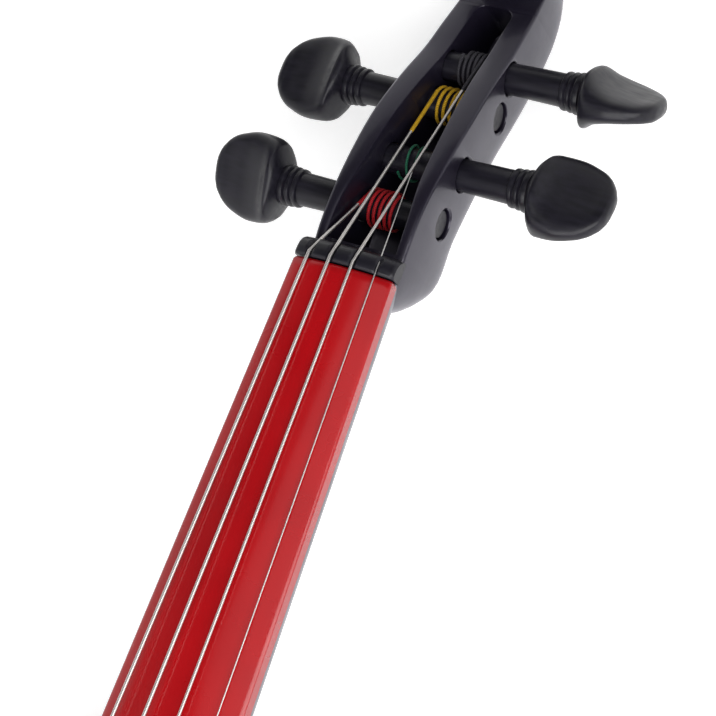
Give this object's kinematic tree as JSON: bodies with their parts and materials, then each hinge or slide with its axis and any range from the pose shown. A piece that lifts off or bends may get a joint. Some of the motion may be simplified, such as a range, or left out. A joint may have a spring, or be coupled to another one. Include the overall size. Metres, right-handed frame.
{
  "type": "electric violin",
  "caption": "Electric violin with an open-frame red lacquered body, black scroll neck, friction pegs with coloured string ends, fine-tuner tailpiece, chin rest and onboard controls.",
  "frame": {"origin": "on the flat back of the body's core, at the middle of the body's length and on the centre line", "axes": "+Z out of the playing side, +Y along the neck towards the scroll, +X towards the treble side"},
  "size_m": [0.208, 0.6042, 0.0774],
  "materials": {
    "red_lacquer": "gloss red lacquer over wood",
    "black_lacquer": "gloss black lacquer over maple",
    "ebony": "polished dark wood",
    "black_plastic": "satin black plastic",
    "maple": "pale bridge maple, unvarnished",
    "nickel": "bright nickel plate",
    "steel": "plain steel",
    "string_metal": "flat wound metal string",
    "red_silk": "wound red silk thread",
    "yellow_silk": "wound yellow silk thread",
    "black_silk": "wound black silk thread",
    "green_silk": "wound green silk thread",
    "circuit_green": "green solder mask",
    "red_lens": "clear red lens"
  },
  "bodies": {
    "violin": {"core": "red_lacquer", "bass_rail": "red_lacquer", "treble_rail": "red_lacquer", "neck": "black_lacquer", "fingerboard": "red_lacquer", "nut": "ebony", "string_g": "string_metal", "string_d": "string_metal", "string_a": "string_metal", "string_e": "string_metal", "bridge": "maple", "bridge_pickup": "black_plastic", "pickup_lead": "black_plastic", "tailpiece": "black_plastic", "saddle": "ebony", "tailgut": "black_plastic", "end_button": "ebony", "chin_rest_plate": "ebony", "electronics_cover": "black_plastic", "cover_screw_1": "steel", "cover_screw_2": "steel", "circuit_board": "circuit_green", "volume_pot": "steel", "tone_pot": "steel", "power_switch": "black_plastic", "power_led": "red_lens", "output_jack": "nickel", "jack_nut": "nickel", "headphone_jack": "black_plastic", "battery": "steel", "battery_snap": "black_plastic"},
    "peg_g": {"peg_g": "ebony", "winding_g": "red_silk"},
    "peg_d": {"peg_d": "ebony", "winding_d": "yellow_silk"},
    "peg_a": {"peg_a": "ebony", "winding_a": "black_silk"},
    "peg_e": {"peg_e": "ebony", "winding_e": "green_silk"},
    "tuner_stem_g": {"tuner_stem_g": "nickel"},
    "tuner_knob_g": {"tuner_knob_g": "nickel"},
    "tuner_lever_g": {"tuner_lever_g": "nickel"},
    "tuner_stem_d": {"tuner_stem_d": "nickel"},
    "tuner_knob_d": {"tuner_knob_d": "nickel"},
    "tuner_lever_d": {"tuner_lever_d": "nickel"},
    "tuner_stem_a": {"tuner_stem_a": "nickel"},
    "tuner_knob_a": {"tuner_knob_a": "nickel"},
    "tuner_lever_a": {"tuner_lever_a": "nickel"},
    "tuner_stem_e": {"tuner_stem_e": "nickel"},
    "tuner_knob_e": {"tuner_knob_e": "nickel"},
    "tuner_lever_e": {"tuner_lever_e": "nickel"},
    "volume_knob": {"volume_knob": "black_plastic"},
    "tone_knob": {"tone_knob": "black_plastic"},
    "switch_slider": {"switch_slider": "black_plastic"},
    "battery_door": {"battery_door": "black_plastic"},
    "chin_rest_barrel_1": {"chin_rest_barrel_1": "nickel"},
    "chin_rest_barrel_2": {"chin_rest_barrel_2": "nickel"},
    "chin_rest_clamp": {"chin_rest_clamp": "nickel"}
  },
  "joints": [
    {"name": "peg_g_turn", "type": "hinge", "parent": "violin", "child": "peg_g", "pos_m": [0, 0.3257, 0.03349], "axis": [1, 0, 0], "continuous": true},
    {"name": "peg_d_turn", "type": "hinge", "parent": "violin", "child": "peg_d", "pos_m": [0, 0.35453, 0.02331], "axis": [1, 0, 0], "continuous": true},
    {"name": "peg_a_turn", "type": "hinge", "parent": "violin", "child": "peg_a", "pos_m": [0, 0.36387, 0.02354], "axis": [1, 0, 0], "continuous": true},
    {"name": "peg_e_turn", "type": "hinge", "parent": "violin", "child": "peg_e", "pos_m": [0, 0.33767, 0.03255], "axis": [1, 0, 0], "continuous": true},
    {"name": "tuner_g_turn", "type": "hinge", "parent": "tuner_stem_g", "child": "tuner_knob_g", "pos_m": [-0.0147, -0.08999, 0.06567], "axis": [0, -0.108, 0.9942], "range_deg": [-180, 180]},
    {"name": "tuner_g_travel", "type": "slide", "parent": "violin", "child": "tuner_stem_g", "axis": [0, -0.108, 0.9942], "range_m": [-0.00025, 0.00025]},
    {"name": "tuner_g_rock", "type": "hinge", "parent": "violin", "child": "tuner_lever_g", "pos_m": [-0.0147, -0.07579, 0.05529], "axis": [1, 0, 0], "range_deg": [-1.2, 1.2]},
    {"name": "tuner_d_turn", "type": "hinge", "parent": "tuner_stem_d", "child": "tuner_knob_d", "pos_m": [-0.0049, -0.09032, 0.06864], "axis": [0, -0.108, 0.9942], "range_deg": [-180, 180]},
    {"name": "tuner_d_travel", "type": "slide", "parent": "violin", "child": "tuner_stem_d", "axis": [0, -0.108, 0.9942], "range_m": [-0.00025, 0.00025]},
    {"name": "tuner_d_rock", "type": "hinge", "parent": "violin", "child": "tuner_lever_d", "pos_m": [-0.0049, -0.07579, 0.05529], "axis": [1, 0, 0], "range_deg": [-1.2, 1.2]},
    {"name": "tuner_a_turn", "type": "hinge", "parent": "tuner_stem_a", "child": "tuner_knob_a", "pos_m": [0.0049, -0.09032, 0.06864], "axis": [0, -0.108, 0.9942], "range_deg": [-180, 180]},
    {"name": "tuner_a_travel", "type": "slide", "parent": "violin", "child": "tuner_stem_a", "axis": [0, -0.108, 0.9942], "range_m": [-0.00025, 0.00025]},
    {"name": "tuner_a_rock", "type": "hinge", "parent": "violin", "child": "tuner_lever_a", "pos_m": [0.0049, -0.07579, 0.05529], "axis": [1, 0, 0], "range_deg": [-1.2, 1.2]},
    {"name": "tuner_e_turn", "type": "hinge", "parent": "tuner_stem_e", "child": "tuner_knob_e", "pos_m": [0.0147, -0.08999, 0.06567], "axis": [0, -0.108, 0.9942], "range_deg": [-180, 180]},
    {"name": "tuner_e_travel", "type": "slide", "parent": "violin", "child": "tuner_stem_e", "axis": [0, -0.108, 0.9942], "range_m": [-0.00025, 0.00025]},
    {"name": "tuner_e_rock", "type": "hinge", "parent": "violin", "child": "tuner_lever_e", "pos_m": [0.0147, -0.07579, 0.05529], "axis": [1, 0, 0], "range_deg": [-1.2, 1.2]},
    {"name": "volume_turn", "type": "hinge", "parent": "violin", "child": "volume_knob", "pos_m": [0.0255, -0.14, 0.05], "axis": [0, 0, 1], "range_deg": [-150, 150]},
    {"name": "tone_turn", "type": "hinge", "parent": "violin", "child": "tone_knob", "pos_m": [0.0255, -0.12, 0.05], "axis": [0, 0, 1], "range_deg": [-150, 150]},
    {"name": "power_slide", "type": "slide", "parent": "violin", "child": "switch_slider", "axis": [0, 1, 0], "range_m": [0, 0.003]},
    {"name": "battery_door_swing", "type": "hinge", "parent": "violin", "child": "battery_door", "pos_m": [0, -0.068, 0.002], "axis": [-1, 0, 0], "range_deg": [0, 95]},
    {"name": "chin_rest_barrel_1_turn", "type": "hinge", "parent": "violin", "child": "chin_rest_barrel_1", "pos_m": [-0.069, -0.17361, 0.03], "axis": [0, 0, 1], "range_deg": [0, 720]},
    {"name": "chin_rest_barrel_2_turn", "type": "hinge", "parent": "violin", "child": "chin_rest_barrel_2", "pos_m": [-0.047, -0.17361, 0.03], "axis": [0, 0, 1], "range_deg": [0, 720]},
    {"name": "chin_rest_clamp_travel", "type": "slide", "parent": "violin", "child": "chin_rest_clamp", "axis": [0, 0, -1], "range_m": [0, 0.002]}
  ],
  "couplings": [
    {"joint": "tuner_g_turn", "follows": "tuner_g_travel", "rad_per_m": 12566},
    {"joint": "tuner_g_rock", "follows": "tuner_g_travel", "rad_per_m": -76.923},
    {"joint": "tuner_d_turn", "follows": "tuner_d_travel", "rad_per_m": 12566},
    {"joint": "tuner_d_rock", "follows": "tuner_d_travel", "rad_per_m": -76.923},
    {"joint": "tuner_a_turn", "follows": "tuner_a_travel", "rad_per_m": 12566},
    {"joint": "tuner_a_rock", "follows": "tuner_a_travel", "rad_per_m": -76.923},
    {"joint": "tuner_e_turn", "follows": "tuner_e_travel", "rad_per_m": 12566},
    {"joint": "tuner_e_rock", "follows": "tuner_e_travel", "rad_per_m": -76.923},
    {"joint": "chin_rest_barrel_1_turn", "follows": "chin_rest_clamp_travel", "rad_per_m": 6283.2},
    {"joint": "chin_rest_barrel_2_turn", "follows": "chin_rest_clamp_travel", "rad_per_m": 6283.2}
  ]
}
